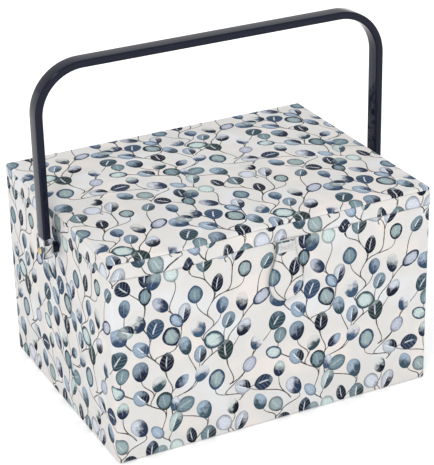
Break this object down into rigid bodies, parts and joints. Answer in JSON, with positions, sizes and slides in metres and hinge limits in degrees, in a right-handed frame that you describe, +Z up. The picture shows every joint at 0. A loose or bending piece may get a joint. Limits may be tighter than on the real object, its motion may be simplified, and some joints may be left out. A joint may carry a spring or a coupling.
{
  "type": "sewing box with trays",
  "caption": "Cloth-covered rectangular sewing box with a padded hinged lid, a closing tab, an upright bow carrying handle and sliding inner trays.",
  "frame": {"origin": "middle of the base, on the surface the box rests on", "axes": "+X to the right across the width, +Y to the back where the lid is hinged, +Z up; the lid is shut and the handle upright"},
  "size_m": [0.364, 0.2544, 0.3438],
  "materials": {
    "printed_cotton": "printed plain-weave cotton, leaf sprigs on off-white",
    "base_cloth": "plain woven base cloth",
    "satin_lining": "satin lining",
    "padding_foam": "polyester wadding",
    "ribbon": "woven ribbon and gathered elastic",
    "cushion_velvet": "short-pile velvet",
    "grey_board": "pressed grey board",
    "stiffener": "buckram stiffener",
    "navy_plastic": "moulded gloss",
    "tray_plastic": "frosted moulding",
    "brass": "polished",
    "steel": "zinc plated"
  },
  "bodies": {
    "box": {"base_board": "grey_board", "base_cover": "base_cloth", "floor_pad": "satin_lining", "front_wall_board": "grey_board", "back_wall_board": "grey_board", "left_wall_board": "grey_board", "right_wall_board": "grey_board", "body_cover": "printed_cotton", "front_lining_board": "satin_lining", "back_lining_board": "satin_lining", "left_lining_board": "satin_lining", "right_lining_board": "satin_lining", "upper_ledge_front": "satin_lining", "upper_ledge_back": "satin_lining", "lower_ledge_front": "satin_lining", "lower_ledge_back": "satin_lining", "closure_keeper": "steel", "backing_washer_left": "steel", "backing_washer_right": "steel", "lid_hinge_tape": "printed_cotton", "stay_ribbon_left": "ribbon", "stay_ribbon_right": "ribbon", "body_ribbon_tacks": "brass"},
    "lid": {"lid_top_board": "grey_board", "lid_front_rim_board": "grey_board", "lid_back_rim_board": "grey_board", "lid_left_rim_board": "grey_board", "lid_right_rim_board": "grey_board", "lid_padding": "padding_foam", "lid_top_cover": "printed_cotton", "lid_rim_cover": "printed_cotton", "lid_lining": "satin_lining", "lid_pocket": "satin_lining", "pocket_elastic": "ribbon", "pin_cushion": "cushion_velvet", "lid_ribbon_tacks": "brass"},
    "tab": {"closure_tab": "printed_cotton", "tab_stiffener": "stiffener", "tab_magnet": "steel"},
    "handle_pivots": {"handle_rivet_left": "brass", "handle_rivet_right": "brass", "pivot_spacer_left": "navy_plastic", "pivot_spacer_right": "navy_plastic"},
    "handle": {"handle_bow": "navy_plastic", "handle_sleeve_left": "printed_cotton", "handle_sleeve_right": "printed_cotton"},
    "upper_tray": {"upper_tray": "tray_plastic"},
    "lower_tray": {"lower_tray": "tray_plastic"}
  },
  "joints": [
    {"name": "lid_hinge", "type": "hinge", "parent": "box", "child": "lid", "pos_m": [0, 0.125, 0.18465], "axis": [-1, 0, 0], "range_deg": [0, 100], "deforming": ["lid_hinge_tape", "stay_ribbon_left", "stay_ribbon_right"]},
    {"name": "tab_hinge", "type": "hinge", "parent": "lid", "child": "tab", "pos_m": [0.008, -0.1271, 0.1846], "axis": [-1, 0, 0], "range_deg": [0, 120]},
    {"name": "handle_push_back", "type": "hinge", "parent": "box", "child": "handle_pivots", "pos_m": [0, -0.005, 0.167], "axis": [-1, 0, 0], "range_deg": [0, 100]},
    {"name": "handle_swing", "type": "hinge", "parent": "handle_pivots", "child": "handle", "pos_m": [0, -0.005, 0.167], "axis": [-1, 0, 0], "range_deg": [-120, 12]},
    {"name": "upper_tray_slide", "type": "slide", "parent": "box", "child": "upper_tray", "axis": [1, 0, 0], "range_m": [0, 0.125]},
    {"name": "lower_tray_slide", "type": "slide", "parent": "box", "child": "lower_tray", "axis": [-1, 0, 0], "range_m": [0, 0.125]}
  ],
  "couplings": [
    {"joint": "handle_push_back", "follows": "lid_hinge", "ratio": 1}
  ]
}
